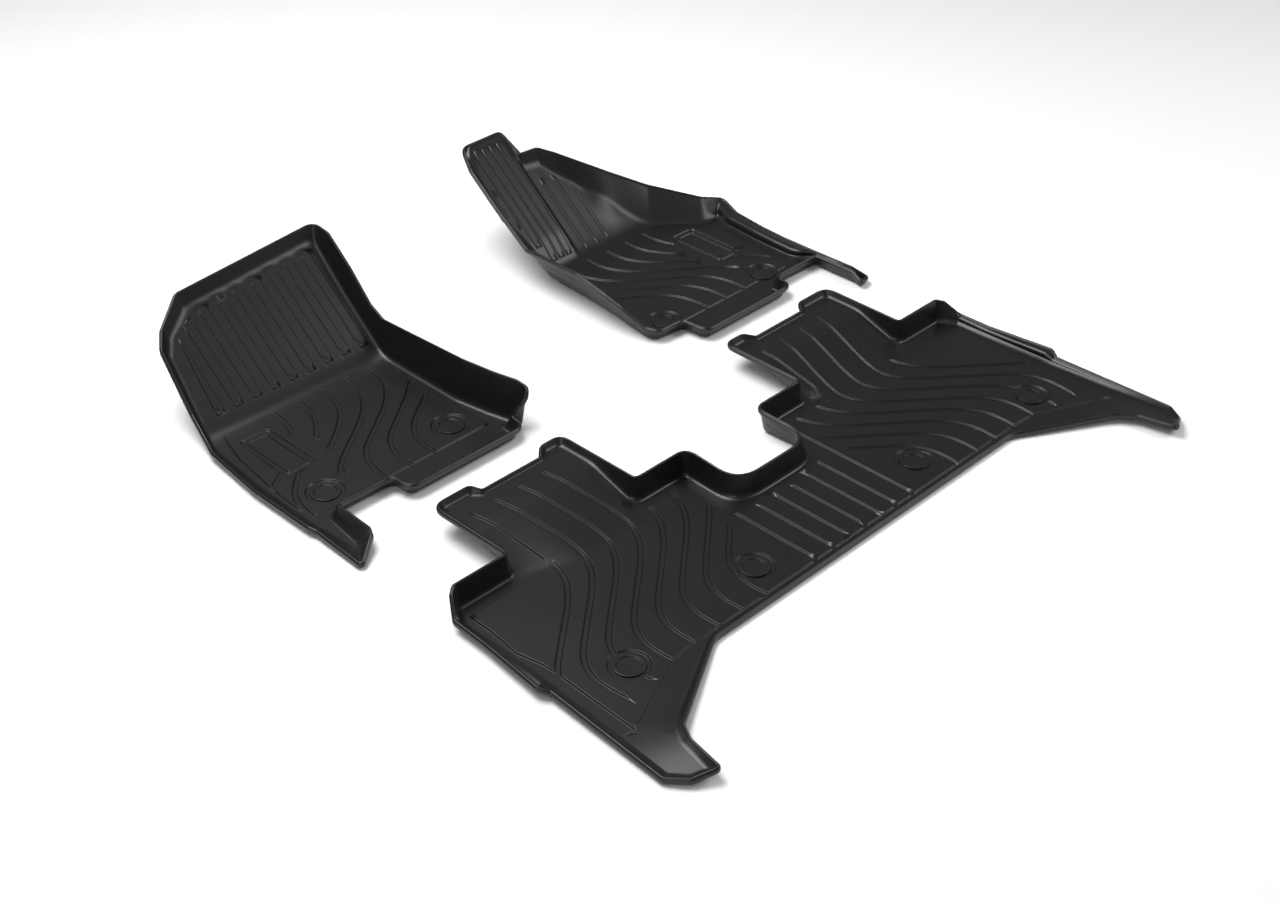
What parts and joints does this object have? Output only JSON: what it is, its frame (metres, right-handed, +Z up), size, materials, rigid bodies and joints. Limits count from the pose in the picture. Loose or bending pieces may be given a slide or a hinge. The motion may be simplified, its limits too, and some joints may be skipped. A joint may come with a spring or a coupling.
{
  "type": "floor mat set",
  "caption": "Moulded car floor mat set: front footwell mats with toe ramps and a full-width rear mat with tongues, grooved trays, raised lips and round stud retainers.",
  "frame": {"origin": "centre of the whole set in plan, on the plane the anti-slip nibs rest on", "axes": "+X to the right of the car, +Y to the front of the car, +Z up"},
  "size_m": [1.3897, 1.5174, 0.2209],
  "materials": {
    "moulded_mat": "fine satin grain",
    "clip_plastic": "matte"
  },
  "bodies": {
    "rear_body": {"rear_mat": "moulded_mat", "retainer_cap_rear_left_outer": "clip_plastic", "snap_socket_rear_left_outer": "clip_plastic", "retainer_cap_rear_left_inner": "clip_plastic", "snap_socket_rear_left_inner": "clip_plastic", "retainer_cap_rear_right_inner": "clip_plastic", "snap_socket_rear_right_inner": "clip_plastic", "retainer_cap_rear_right_outer": "clip_plastic", "snap_socket_rear_right_outer": "clip_plastic"},
    "front_left_body": {"front_left_mat": "moulded_mat", "retainer_cap_front_left_outer": "clip_plastic", "snap_socket_front_left_outer": "clip_plastic", "retainer_cap_front_left_inner": "clip_plastic", "snap_socket_front_left_inner": "clip_plastic"},
    "front_right_body": {"front_right_mat": "moulded_mat", "retainer_cap_front_right_outer": "clip_plastic", "snap_socket_front_right_outer": "clip_plastic", "retainer_cap_front_right_inner": "clip_plastic", "snap_socket_front_right_inner": "clip_plastic"}
  },
  "joints": [
    {"name": "front_left_lift_out", "type": "slide", "parent": "rear_body", "child": "front_left_body", "axis": [0, 0, 1], "range_m": [0, 0.3]},
    {"name": "front_right_lift_out", "type": "slide", "parent": "rear_body", "child": "front_right_body", "axis": [0, 0, 1], "range_m": [0, 0.3]}
  ]
}
